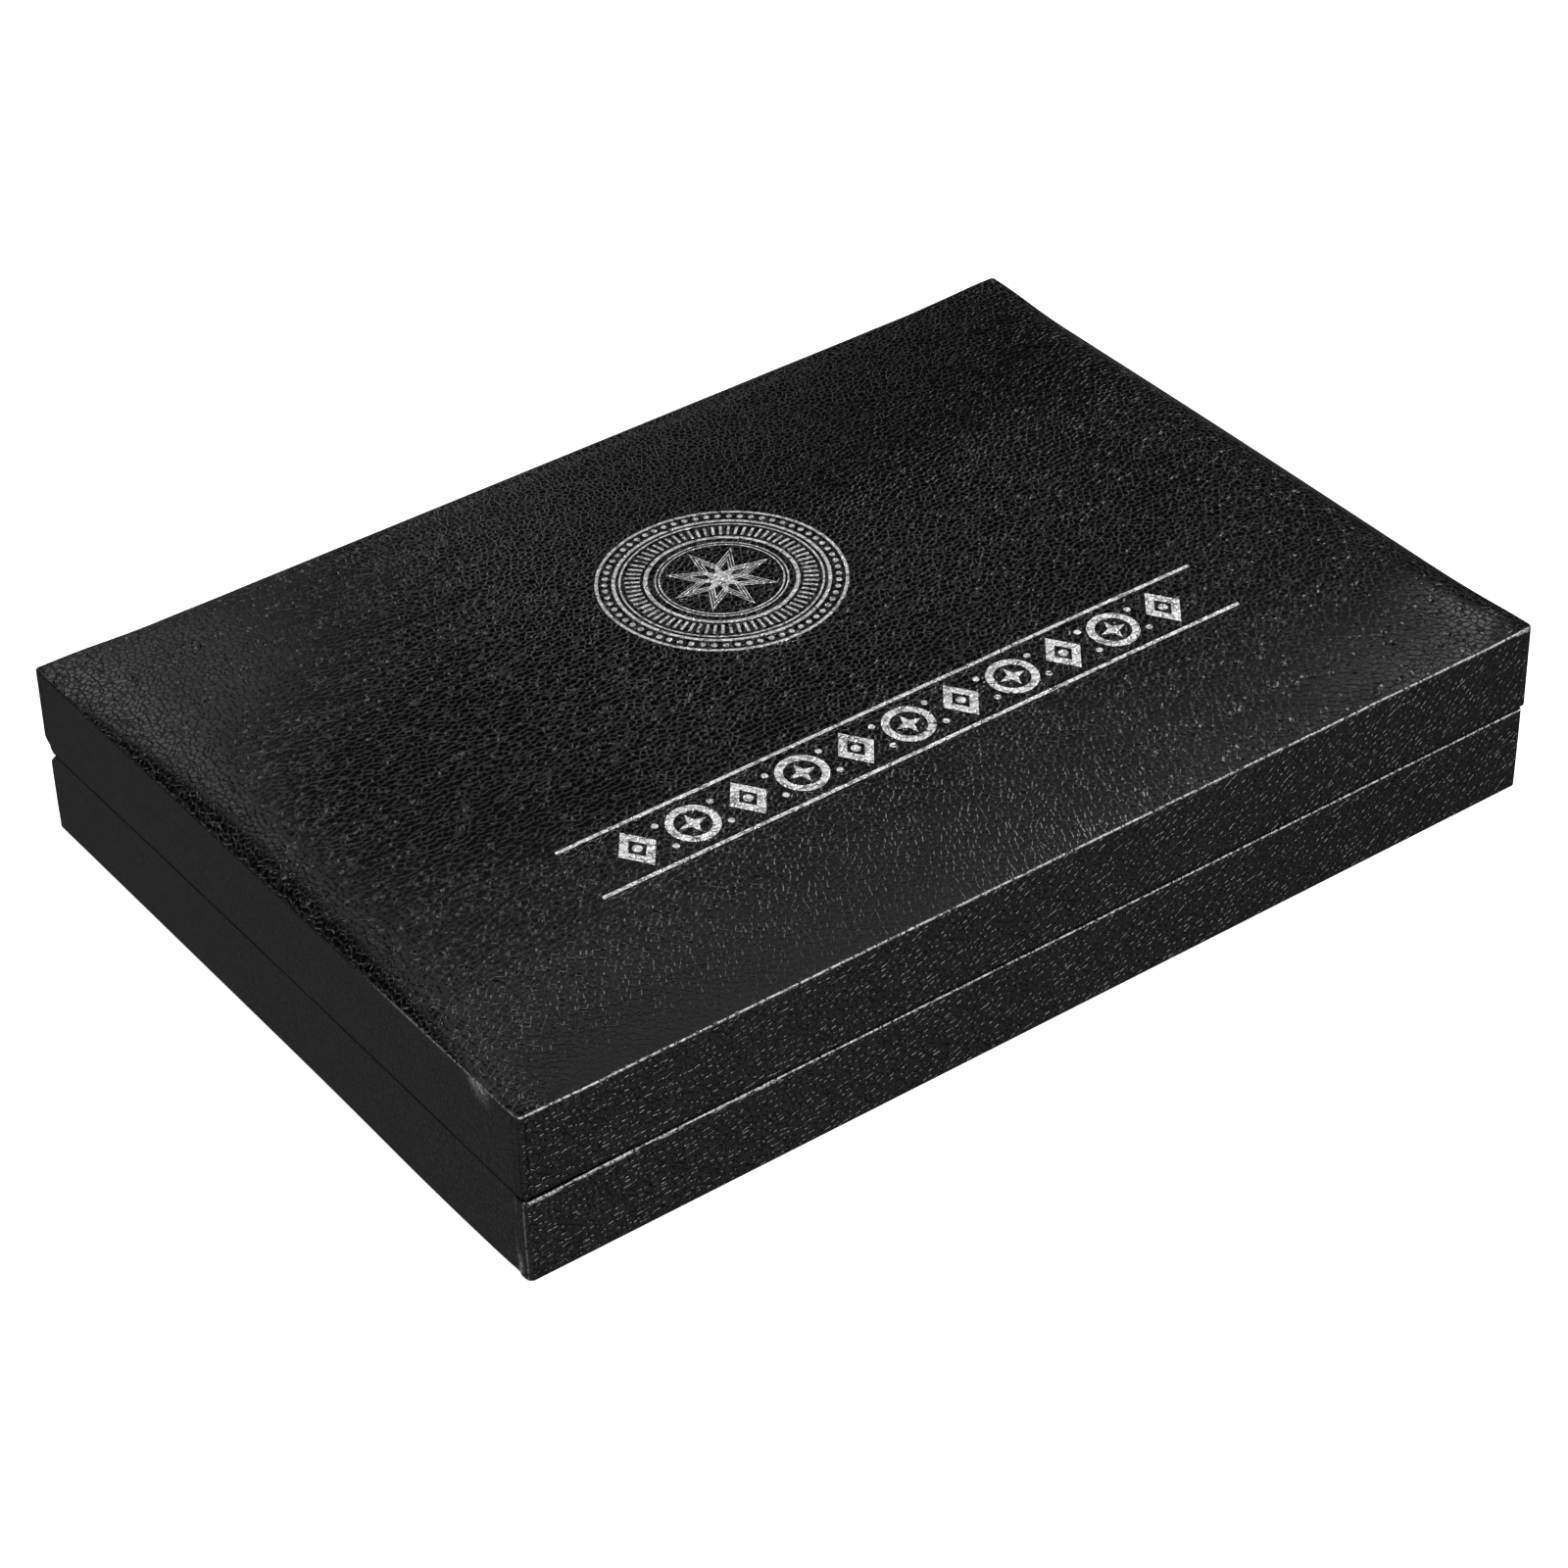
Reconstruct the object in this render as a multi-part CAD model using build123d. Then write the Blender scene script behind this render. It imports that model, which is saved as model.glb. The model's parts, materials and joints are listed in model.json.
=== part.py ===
from build123d import *
import math
import os

# Hinged coin presentation case: two fibreboard trays covered in leatherette, a padded lid with
# foil ornaments, two concealed detent hinges and a velvet interior with lift-out dividers.
# Millimetres. Origin at the middle of the underside, +X right along the long front, +Y towards
# the hinges, +Z up. The case is closed.

# Outside of the lid
CASE_WIDTH = 240.0
CASE_DEPTH = 170.0
CASE_HEIGHT = 44.5
RIM_HEIGHT = 39.0

# Where lid and base part, and how far the lid stands over the base
SPLIT_HEIGHT = 19.7
SPLIT_GAP = 0.3
SIDE_OVERHANG = 0.5
FRONT_OVERHANG = 0.2

# Sheet and board thicknesses
WRAP = 0.7
BASE_SIDE_BOARD = 4.3
BASE_LONG_BOARD = 4.6
LID_BOARD = 3.8
FLOOR_BOARD = 3.0
TOP_BOARD = 3.5
COLLAR = 1.8
LID_LINING = 0.4
FOIL = 0.1

# Underside
FOOT_PROUD = 0.5
TURN_IN = 12.0

# Padded top: how far each level of the pad stands in from the lid's edge, and its corner radius
PAD_FOOT_INSET = 1.6
PAD_FOOT_RADIUS = 3.0
PAD_SHOULDER_INSET = 4.6
PAD_SHOULDER_RADIUS = 16.0
PAD_SHOULDER_RISE = 2.8
PAD_TOP_INSET = 30.0
PAD_TOP_RADIUS = 26.0
PAD_SKIN_INSET = 0.7

# Interior
HINGE_SPACE = 2.0
COLLAR_ABOVE_SPLIT = 5.0
FLOOR_CUSHION = 4.0
LID_CUSHION = 5.0
CUSHION_GAP = 0.2
CELLS_ALONG = 6
CELLS_ACROSS = 4
DIVIDER = 2.0
DIVIDER_BELOW_COLLAR = 0.7
DIVIDER_PLAY = 0.25
LAP_PLAY = 0.1

# Hinges
HINGE_FROM_BACK = 3.2
HINGE_BEVEL_DEG = 47.5
BEVEL_CLEARANCE = 0.15
HINGE_SPACING = 130.0
HINGE_WIDTH = 24.0
LEAF = 0.65
LEAF_HEIGHT = 9.8
PIN_RADIUS = 0.6
PIN_CLEARANCE = 0.05
KNUCKLE_RADIUS = 1.3
LID_KNUCKLE = 8.0
KNUCKLE_GAP = 0.2
KNUCKLE_SLOT = 2.2
KNUCKLE_SLOT_BACK = 1.75
SPRING_WIDTH = 6.0
SPRING_THICK = 0.4
SPRING_WINDOW = 6.8
SPRING_WINDOW_DEPTH = 4.2
SCREW_RADIUS = 0.7
SCREW_LENGTH = 3.4
SCREW_HEAD_RADIUS = 1.4
SCREW_HEAD = 0.5
SCREW_OFFSET = 8.0
SCREW_HEIGHT = 7.0

# Foil ornaments on the lid
MEDALLION_Y = 20.6
MEDALLION_RADII = ((24.4, 25.3), (21.6, 22.3), (14.6, 15.3))
MEDALLION_BEAD_RING = 23.4
MEDALLION_BEAD = 0.45
MEDALLION_BEADS = 60
STAR_RADIUS = 11.0
STAR_WAIST = 4.6
STAR_POINTS = 8
BAND_Y = -40.0
BAND_LENGTH = 152.0
BAND_HEIGHT = 16.0
BAND_RULE = 0.7
BAND_MOTIFS = 11
MOTIF_PITCH = 12.6
MOTIF_RADIUS = 4.6
MOTIF_RING = 1.3

# Worked out from the above
PAD_HEIGHT = CASE_HEIGHT - FOIL
LID_X = CASE_WIDTH / 2
LID_Y = CASE_DEPTH / 2
LID_LOW = SPLIT_HEIGHT + SPLIT_GAP / 2
BASE_X = LID_X - SIDE_OVERHANG
BASE_Y = LID_Y - FRONT_OVERHANG
BASE_HIGH = SPLIT_HEIGHT - SPLIT_GAP / 2
BASE_IN_X = BASE_X - WRAP - BASE_SIDE_BOARD
BASE_IN_Y = BASE_Y - WRAP - BASE_LONG_BOARD
LID_IN_X = LID_X - WRAP - LID_BOARD
LID_IN_Y = LID_Y - WRAP - LID_BOARD
FLOOR_LOW = FOOT_PROUD + WRAP
FLOOR_HIGH = FLOOR_LOW + FLOOR_BOARD
TOP_HIGH = RIM_HEIGHT - WRAP
TOP_LOW = TOP_HIGH - TOP_BOARD
HINGE_Y = LID_Y - HINGE_FROM_BACK
COLLAR_HIGH = SPLIT_HEIGHT + COLLAR_ABOVE_SPLIT
COLLAR_BACK = BASE_IN_Y - HINGE_SPACE
WELL_X = BASE_IN_X - COLLAR
WELL_FRONT = -BASE_IN_Y + COLLAR
WELL_BACK = COLLAR_BACK - COLLAR
DIVIDER_LOW = FLOOR_HIGH + FLOOR_CUSHION
DIVIDER_HIGH = COLLAR_HIGH - DIVIDER_BELOW_COLLAR
LAP_HEIGHT = (DIVIDER_LOW + DIVIDER_HIGH) / 2
BASE_LEAF_Y = BASE_IN_Y - LEAF
LID_LEAF_Y = LID_IN_Y - LID_LINING - LEAF
HINGES = {"left": -HINGE_SPACING / 2, "right": HINGE_SPACING / 2}
BEVEL_SLOPE = math.tan(math.radians(HINGE_BEVEL_DEG))
FAR = 15.0


def block(low, high):
    """A box from its lowest to its highest corner."""
    size = [b - a for a, b in zip(low, high)]
    middle = [(a + b) / 2 for a, b in zip(low, high)]
    return Pos(*middle) * Box(*size)


def centred_block(half_x, half_y, z_low, z_high):
    return block((-half_x, -half_y, z_low), (half_x, half_y, z_high))


def long_prism(points, half_length, middle_x=0.0):
    """A prism along X with a YZ outline."""
    outline = Plane.YZ * Polygon(*points, align=None)
    return Pos(middle_x, 0, 0) * extrude(outline, amount=half_length, both=True)


def rod(radius, x_low, x_high, y, z):
    """A cylinder along X."""
    return Pos((x_low + x_high) / 2, y, z) * Rot(0, 90, 0) * Cylinder(radius, x_high - x_low)


def back_bevel(side, depth):
    """The wedge behind the hinge axis that is cut away so that the lid can tip back.
    side is -1 for the base and +1 for the lid, depth is how far the bevel lies inside it."""
    drop = depth / math.cos(math.radians(HINGE_BEVEL_DEG))
    start = HINGE_Y - drop / BEVEL_SLOPE - 2.0
    over = SPLIT_HEIGHT - side * 2.0 * BEVEL_SLOPE
    end = HINGE_Y + FAR
    under = SPLIT_HEIGHT + side * (BEVEL_SLOPE * FAR + drop)
    return long_prism([(start, over), (end, over), (end, under)], CASE_WIDTH)


def knuckle_slots():
    """The room for the hinge barrels in both back walls."""
    slots = []
    for x in HINGES.values():
        half = HINGE_WIDTH / 2 + 0.4
        low = (x - half, BASE_IN_Y - 2.0, SPLIT_HEIGHT - KNUCKLE_SLOT)
        high = (x + half, HINGE_Y + KNUCKLE_SLOT_BACK, SPLIT_HEIGHT + KNUCKLE_SLOT)
        slots.append(block(low, high))
    return slots


def screw(x, side):
    """One small round-headed screw, driven towards +Y through a leaf."""
    leaf_y = BASE_LEAF_Y if side < 0 else LID_LEAF_Y
    z = SPLIT_HEIGHT + side * SCREW_HEIGHT
    along_y = Rot(-90, 0, 0)
    head = Pos(x, leaf_y - SCREW_HEAD / 2, z) * along_y * Cylinder(SCREW_HEAD_RADIUS, SCREW_HEAD)
    shank = Pos(x, leaf_y + SCREW_LENGTH / 2, z) * along_y * Cylinder(SCREW_RADIUS, SCREW_LENGTH)
    return head + shank


def screws(side):
    places = [x + s * SCREW_OFFSET for x in HINGES.values() for s in (-1, 1)]
    return [screw(x, side) for x in places]


def base_envelope(depth):
    """The base's outside, or the face a depth inside it."""
    solid = centred_block(BASE_X - depth, BASE_Y - depth, FOOT_PROUD + depth, BASE_HIGH - depth)
    return solid - back_bevel(-1, BEVEL_CLEARANCE + depth)


def base_wrap():
    """The leatherette sheet: over the outside and the rim, and turned in under the floor."""
    room = centred_block(BASE_IN_X, BASE_IN_Y, FLOOR_LOW, RIM_HEIGHT)
    under = centred_block(BASE_X - TURN_IN, BASE_Y - TURN_IN, 0, FLOOR_HIGH)
    return base_envelope(0) - base_envelope(WRAP) - room - under - knuckle_slots()


def bottom_pad():
    return centred_block(BASE_X - TURN_IN, BASE_Y - TURN_IN, 0, FLOOR_LOW)


def base_floor():
    return centred_block(BASE_X - WRAP, BASE_Y - WRAP, FLOOR_LOW, FLOOR_HIGH)


def base_boards():
    outer_x = BASE_X - WRAP
    outer_y = BASE_Y - WRAP
    shell = base_envelope(WRAP)
    front = shell & block((-outer_x, -outer_y, FLOOR_HIGH), (outer_x, -BASE_IN_Y, BASE_HIGH))
    back = shell & block((-outer_x, BASE_IN_Y, FLOOR_HIGH), (outer_x, outer_y, BASE_HIGH))
    side = shell & block((BASE_IN_X, -BASE_IN_Y, FLOOR_HIGH), (outer_x, BASE_IN_Y, BASE_HIGH))
    return {
        "base_front_board": front,
        "base_back_board": back - knuckle_slots() - screws(-1),
        "base_left_board": mirror(side, about=Plane.YZ),
        "base_right_board": side,
    }


def collars():
    """Strips inside the base that stand up into the lid and centre it."""
    low, high = FLOOR_HIGH, COLLAR_HIGH
    right = block((WELL_X, WELL_FRONT, low), (BASE_IN_X, WELL_BACK, high))
    return {
        "collar_front": block((-BASE_IN_X, -BASE_IN_Y, low), (BASE_IN_X, WELL_FRONT, high)),
        "collar_back": block((-BASE_IN_X, WELL_BACK, low), (BASE_IN_X, COLLAR_BACK, high)),
        "collar_left": mirror(right, about=Plane.YZ),
        "collar_right": right,
    }


def floor_cushion():
    return block((-WELL_X, WELL_FRONT, FLOOR_HIGH), (WELL_X, WELL_BACK, DIVIDER_LOW))


def divider_places(low, high, cells):
    """The middles of the dividers that share a length out evenly."""
    cell = (high - low - (cells - 1) * DIVIDER) / cells
    return [low + (i + 1) * (cell + DIVIDER) - DIVIDER / 2 for i in range(cells - 1)]


def dividers():
    """Strips that half-lap into each other and lift out as one lattice."""
    across = divider_places(-WELL_X, WELL_X, CELLS_ALONG)
    along = divider_places(WELL_FRONT, WELL_BACK, CELLS_ACROSS)
    half = DIVIDER / 2
    lap = half + LAP_PLAY
    nodes = {}
    for i, y in enumerate(along):
        x_end = WELL_X - DIVIDER_PLAY
        strip = block((-x_end, y - half, DIVIDER_LOW), (x_end, y + half, DIVIDER_HIGH))
        for x in across:
            strip -= block((x - lap, y - lap, LAP_HEIGHT), (x + lap, y + lap, CASE_HEIGHT))
        nodes[f"long_divider_{i + 1}"] = strip
    for i, x in enumerate(across):
        front, back = WELL_FRONT + DIVIDER_PLAY, WELL_BACK - DIVIDER_PLAY
        strip = block((x - half, front, DIVIDER_LOW), (x + half, back, DIVIDER_HIGH))
        for y in along:
            strip -= block((x - lap, y - lap, 0), (x + lap, y + lap, LAP_HEIGHT))
        nodes[f"short_divider_{i + 1}"] = strip
    return nodes


def pad(z_foot, inset):
    """The padded top: a steep shoulder that eases into a flat middle."""
    levels = (
        (PAD_FOOT_INSET, PAD_FOOT_RADIUS, 0),
        (PAD_SHOULDER_INSET, PAD_SHOULDER_RADIUS, PAD_SHOULDER_RISE),
        (PAD_TOP_INSET, PAD_TOP_RADIUS, PAD_HEIGHT - RIM_HEIGHT),
    )
    outlines = []
    for step_in, radius, rise in levels:
        width = CASE_WIDTH - 2 * (step_in + inset)
        depth = CASE_DEPTH - 2 * (step_in + inset)
        outlines.append(Pos(0, 0, z_foot + rise) * RectangleRounded(width, depth, radius))
    return loft(outlines, ruled=True)


def foam_pad():
    return pad(TOP_HIGH, PAD_SKIN_INSET)


def lid_envelope(depth):
    """The lid's outside without its pad, or the face a depth inside it."""
    solid = centred_block(LID_X - depth, LID_Y - depth, LID_LOW + depth, RIM_HEIGHT - depth)
    return solid - back_bevel(1, BEVEL_CLEARANCE + depth)


def lid_wrap():
    """The leatherette sheet: over the pad, down the sides and round the rim."""
    room = centred_block(LID_IN_X, LID_IN_Y, 0, TOP_HIGH)
    outside = lid_envelope(0) + pad(RIM_HEIGHT, 0)
    return outside - lid_envelope(WRAP) - foam_pad() - room - knuckle_slots()


def lid_boards():
    outer_x = LID_X - WRAP
    outer_y = LID_Y - WRAP
    shell = lid_envelope(WRAP)
    front = shell & block((-outer_x, -outer_y, LID_LOW), (outer_x, -LID_IN_Y, TOP_LOW))
    back = shell & block((-outer_x, LID_IN_Y, LID_LOW), (outer_x, outer_y, TOP_LOW))
    side = shell & block((LID_IN_X, -LID_IN_Y, LID_LOW), (outer_x, LID_IN_Y, TOP_LOW))
    return {
        "lid_top_board": centred_block(outer_x, outer_y, TOP_LOW, TOP_HIGH),
        "lid_front_board": front,
        "lid_back_board": back - knuckle_slots() - screws(1),
        "lid_left_board": mirror(side, about=Plane.YZ),
        "lid_right_board": side,
    }


def lid_wall_lining():
    """Thin lining round the inside of the lid's walls."""
    outer = centred_block(LID_IN_X, LID_IN_Y, LID_LOW + WRAP, TOP_LOW)
    room = centred_block(LID_IN_X - LID_LINING, LID_IN_Y - LID_LINING, 0, RIM_HEIGHT)
    return outer - room - knuckle_slots() - screws(1)


def lid_cushion():
    half_x = LID_IN_X - LID_LINING - CUSHION_GAP
    half_y = LID_IN_Y - LID_LINING - CUSHION_GAP
    return centred_block(half_x, half_y, TOP_LOW - LID_CUSHION, TOP_LOW)


def leaf(x, side, leaf_y, barrels, bore):
    """A hinge leaf: a plate on the wall, bent out to its barrels round the pin."""
    z_near = SPLIT_HEIGHT + side * (PIN_RADIUS + 2 * PIN_CLEARANCE)
    z_bend = SPLIT_HEIGHT + side * KNUCKLE_RADIUS
    z_far = SPLIT_HEIGHT + side * LEAF_HEIGHT
    half = HINGE_WIDTH / 2
    z_low, z_high = sorted((z_near, z_far))
    solid = block((x - half, leaf_y, z_low), (x + half, leaf_y + LEAF, z_high))
    z_low, z_high = sorted((z_near, z_bend))
    for x_low, x_high in barrels:
        solid += block((x + x_low, leaf_y, z_low), (x + x_high, HINGE_Y, z_high))
        solid += rod(KNUCKLE_RADIUS, x + x_low, x + x_high, HINGE_Y, SPLIT_HEIGHT)
        solid -= rod(bore, x + x_low, x + x_high, HINGE_Y, SPLIT_HEIGHT)
    return solid - screws(side)


def base_leaf(x):
    end = HINGE_WIDTH / 2
    inner = LID_KNUCKLE / 2 + KNUCKLE_GAP
    solid = leaf(x, -1, BASE_LEAF_Y, ((-end, -inner), (inner, end)), PIN_RADIUS)
    half = SPRING_WINDOW / 2
    low = (x - half, BASE_LEAF_Y - 1, SPLIT_HEIGHT - SPRING_WINDOW_DEPTH)
    high = (x + half, BASE_LEAF_Y + LEAF + 0.1, SPLIT_HEIGHT)
    return solid - block(low, high)


def lid_leaf(x):
    half = LID_KNUCKLE / 2
    return leaf(x, 1, LID_LEAF_Y, ((-half, half),), PIN_RADIUS + PIN_CLEARANCE)


def hinge_pin(x):
    end = HINGE_WIDTH / 2
    return rod(PIN_RADIUS, x - end, x + end, HINGE_Y, SPLIT_HEIGHT)


def hinge_spring(x):
    """The detent tongue: flat on the base leaf, then bent in through its window to the barrel."""
    back = BASE_LEAF_Y
    tip = HINGE_Y - KNUCKLE_RADIUS - 0.4
    thick = SPRING_THICK
    outline = [
        (back - thick, SPLIT_HEIGHT - 9.5),
        (back, SPLIT_HEIGHT - 9.5),
        (back, SPLIT_HEIGHT - 3.6),
        (tip, SPLIT_HEIGHT - 0.7),
        (tip, SPLIT_HEIGHT + 0.3),
        (tip - thick, SPLIT_HEIGHT + 0.3),
        (tip - thick, SPLIT_HEIGHT - 0.6),
        (back - thick, SPLIT_HEIGHT - 3.5),
    ]
    return long_prism(outline, SPRING_WIDTH / 2, x)


def ring(x, y, outer, inner):
    place = Pos(x, y, PAD_HEIGHT + FOIL / 2)
    return place * (Cylinder(outer, FOIL) - Cylinder(inner, FOIL))


def foil_disc(x, y, radius):
    return Pos(x, y, PAD_HEIGHT + FOIL / 2) * Cylinder(radius, FOIL)


def foil_shape(points):
    return extrude(Pos(0, 0, PAD_HEIGHT) * Polygon(*points, align=None), amount=FOIL)


def foil_medallion():
    """Plain rings, a ring of beads and a star, in foil."""
    pieces = [ring(0, MEDALLION_Y, outer, inner) for inner, outer in MEDALLION_RADII]
    for i in range(MEDALLION_BEADS):
        turn = 2 * math.pi * i / MEDALLION_BEADS
        x = MEDALLION_BEAD_RING * math.sin(turn)
        y = MEDALLION_Y + MEDALLION_BEAD_RING * math.cos(turn)
        pieces.append(foil_disc(x, y, MEDALLION_BEAD))
    star = []
    for i in range(2 * STAR_POINTS):
        turn = math.pi * i / STAR_POINTS
        reach = STAR_WAIST if i % 2 else STAR_RADIUS
        star.append((reach * math.cos(turn), MEDALLION_Y + reach * math.sin(turn)))
    pieces.append(foil_shape(star))
    return pieces


def foil_band():
    """Two long rules with a row of rings and lozenges between them."""
    half = BAND_LENGTH / 2
    pieces = []
    for side in (-1, 1):
        y = BAND_Y + side * (BAND_HEIGHT - BAND_RULE) / 2
        low = (-half, y - BAND_RULE / 2, PAD_HEIGHT)
        pieces.append(block(low, (half, y + BAND_RULE / 2, CASE_HEIGHT)))
    for i in range(BAND_MOTIFS):
        x = (i - (BAND_MOTIFS - 1) / 2) * MOTIF_PITCH
        if i % 2:
            pieces.append(ring(x, BAND_Y, MOTIF_RADIUS, MOTIF_RADIUS - MOTIF_RING))
            pieces.append(foil_disc(x, BAND_Y, MOTIF_RING))
        else:
            wide = MOTIF_RADIUS * 0.8
            tall = MOTIF_RADIUS * 1.15
            corners = [(x - wide, BAND_Y), (x, BAND_Y - tall), (x + wide, BAND_Y), (x, BAND_Y + tall)]
            pieces.append(foil_shape(corners))
    return pieces


def model():
    nodes = {
        "base_bottom_pad": bottom_pad(),
        "base_floor_board": base_floor(),
        "base_wrap": base_wrap(),
        "base_floor_cushion": floor_cushion(),
        "base_hinge_screws": screws(-1),
        "lid_foam_pad": foam_pad(),
        "lid_wrap": lid_wrap(),
        "lid_wall_lining": lid_wall_lining(),
        "lid_cushion": lid_cushion(),
        "lid_hinge_screws": screws(1),
        "lid_foil_medallion": foil_medallion(),
        "lid_foil_band": foil_band(),
    }
    nodes.update(base_boards())
    nodes.update(collars())
    nodes.update(dividers())
    nodes.update(lid_boards())
    for side, x in HINGES.items():
        nodes[f"base_hinge_leaf_{side}"] = base_leaf(x)
        nodes[f"lid_hinge_leaf_{side}"] = lid_leaf(x)
        nodes[f"hinge_pin_{side}"] = hinge_pin(x)
        nodes[f"hinge_spring_{side}"] = hinge_spring(x)
    return nodes


os.makedirs("parts", exist_ok=True)
for name, shape in model().items():
    if isinstance(shape, list):
        shape = Compound(children=shape)
    export_step(shape, f"parts/{name}.step")
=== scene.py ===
import json
import math

import bmesh
import bpy
import numpy as np
from mathutils import Matrix, Vector, noise

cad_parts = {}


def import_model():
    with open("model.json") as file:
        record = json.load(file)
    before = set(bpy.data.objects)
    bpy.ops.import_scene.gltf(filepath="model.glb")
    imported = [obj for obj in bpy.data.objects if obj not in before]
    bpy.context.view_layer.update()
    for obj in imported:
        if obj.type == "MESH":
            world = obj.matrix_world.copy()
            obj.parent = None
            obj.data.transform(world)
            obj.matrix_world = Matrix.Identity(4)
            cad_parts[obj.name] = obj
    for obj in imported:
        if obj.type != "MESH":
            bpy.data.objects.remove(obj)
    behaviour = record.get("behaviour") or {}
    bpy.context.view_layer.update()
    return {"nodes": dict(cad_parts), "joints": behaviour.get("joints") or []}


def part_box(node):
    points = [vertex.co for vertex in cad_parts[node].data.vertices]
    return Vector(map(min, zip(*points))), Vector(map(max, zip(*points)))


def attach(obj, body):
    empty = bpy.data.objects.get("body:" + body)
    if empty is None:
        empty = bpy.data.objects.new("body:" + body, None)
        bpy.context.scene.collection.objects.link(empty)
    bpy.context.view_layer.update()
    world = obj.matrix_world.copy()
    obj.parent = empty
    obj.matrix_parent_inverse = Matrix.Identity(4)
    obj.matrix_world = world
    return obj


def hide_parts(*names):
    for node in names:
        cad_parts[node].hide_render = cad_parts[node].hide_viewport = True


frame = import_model()

MM = 0.001

# Places that the CAD frame gives
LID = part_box("lid_wrap")
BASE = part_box("base_wrap")
LID_TOP_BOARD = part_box("lid_top_board")
LID_LINING_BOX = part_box("lid_wall_lining")
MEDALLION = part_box("lid_foil_medallion")
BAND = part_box("lid_foil_band")
HINGE = Vector(frame["joints"][0]["pos_m"])

# The leatherette sheet, and the walls that it covers
SKIN = 0.7 * MM
LID_HALF = np.array([LID[1].x, LID[1].y])
BASE_HALF = np.array([BASE[1].x, BASE[1].y])
# The rim is where the walls turn into the padded top
RIM = LID_TOP_BOARD[1].z + SKIN
LID_LOW = LID[0].z
BASE_HIGH = BASE[1].z - 0.3 * MM
BASE_BOARD_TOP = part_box("base_front_board")[1].z
BASE_LOW = 0.06 * MM
PAD_RISE = MEDALLION[0].z - RIM
CORNER = 0.9 * MM
TIGHT_FOLD = 0.35 * MM
SOFT_FOLD = 1.8 * MM
LIP_FOLD = 0.4 * MM
FOOT_FOLD = 0.3 * MM
LID_WALL = LID_HALF[0] - LID_LINING_BOX[1].x
BASE_WALL = BASE_HALF[0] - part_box("collar_right")[1].x
TURN_IN = 12 * MM
BASE_TAPER = 0.12 * MM
SEAM_Y = -BASE_HALF[1] + 3.2 * MM
GRID_STEP = 2.4 * MM

# The bevel behind the hinge, which lets the lid tip back
BEVEL_TURN = math.radians(47.5)
BEVEL = math.tan(BEVEL_TURN)
BEVEL_GAP = 0.15 * MM / math.cos(BEVEL_TURN)
SKIN_DROP = SKIN / math.cos(BEVEL_TURN)

# How the padded top rises from its rim: steeply at the ends, and in one arch from front to back
LEDGE = 0.15 * MM
SOFT_LEDGE = 1.0 * MM
SHOULDER = 3.4 * MM
SHOULDER_SHARE = 0.74
CROWN = 60 * MM
ARCH_POWER = 2.3

# How far the foil stands over the sheet and sinks into it
FOIL_UP = 0.05 * MM
FOIL_DOWN = 0.06 * MM

# Soft panels in the room: azimuth, elevation, degrees to the edge, degrees to the full core, strength
ROOM_PANELS = (
    (2, 26, 23, 13, 1.9),
    (26, 5, 13, 5, 0.5),
    (0, 90, 50, 38, 0.95),
    (65, 38, 11, 3, 9.5),
    (-60, 10, 20, 8, 0.35),
)

# The velvet lattice
CELLS_ALONG = 6
CELLS_ACROSS = 4


# ---------------------------------------------------------------- node helpers


def feed(tree, socket, value):
    """Links a socket to another node's output, or sets its own value."""
    if isinstance(value, bpy.types.NodeSocket):
        tree.links.new(value, socket)
    else:
        socket.default_value = value


class Nodes:
    """A short way to write a node tree."""

    def __init__(self, tree):
        self.tree = tree
        tree.nodes.clear()

    def add(self, kind, inputs=None, **settings):
        node = self.tree.nodes.new(kind)
        for name, value in settings.items():
            setattr(node, name, value)
        for name, value in (inputs or {}).items():
            feed(self.tree, node.inputs[name], value)
        return node

    def math(self, operation, a, b=0.0, clamp=False):
        return self.add("ShaderNodeMath", {0: a, 1: b}, operation=operation, use_clamp=clamp).outputs[0]

    def ramp(self, value, low, high, to_low=0.0, to_high=1.0, smooth=True):
        """to_low where the value is at or under low, to_high where it is at or over high."""
        kind = "SMOOTHSTEP" if smooth else "LINEAR"
        inputs = {"Value": value, "From Min": low, "From Max": high, "To Min": to_low, "To Max": to_high}
        return self.add("ShaderNodeMapRange", inputs, interpolation_type=kind).outputs["Result"]

    def mix(self, share, a, b):
        """Colour a where the share is 0, and colour b where it is 1."""
        return self.add("ShaderNodeMix", {0: share, 6: a, 7: b}, data_type="RGBA").outputs[2]

    def vector(self, operation, inputs, output="Vector"):
        return self.add("ShaderNodeVectorMath", inputs, operation=operation).outputs[output]

    def mark(self, name):
        """A value that the mesh carries at its points."""
        return self.add("ShaderNodeAttribute", attribute_name=name).outputs["Fac"]

    def noise(self, vector, scale, detail=2.0, roughness=0.5):
        inputs = {"Vector": vector, "Scale": scale, "Detail": detail, "Roughness": roughness}
        return self.add("ShaderNodeTexNoise", inputs).outputs["Fac"]

    def cells(self, vector, scale, feature, randomness=1.0):
        inputs = {"Vector": vector, "Scale": scale, "Randomness": randomness}
        return self.add("ShaderNodeTexVoronoi", inputs, feature=feature).outputs["Distance"]


def grey(value, warm=0.0):
    return (value * (1 + warm), value, value * (1 - warm), 1.0)


def material(name):
    """A new material, its nodes, its shader, and the place on the object that its patterns follow."""
    made = bpy.data.materials.new(name)
    made.use_nodes = True
    nodes = Nodes(made.node_tree)
    shader = nodes.add("ShaderNodeBsdfPrincipled")
    output = nodes.add("ShaderNodeOutputMaterial")
    made.node_tree.links.new(shader.outputs[0], output.inputs[0])
    place = nodes.add("ShaderNodeTexCoord").outputs["Object"]
    return made, nodes, shader, place


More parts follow.
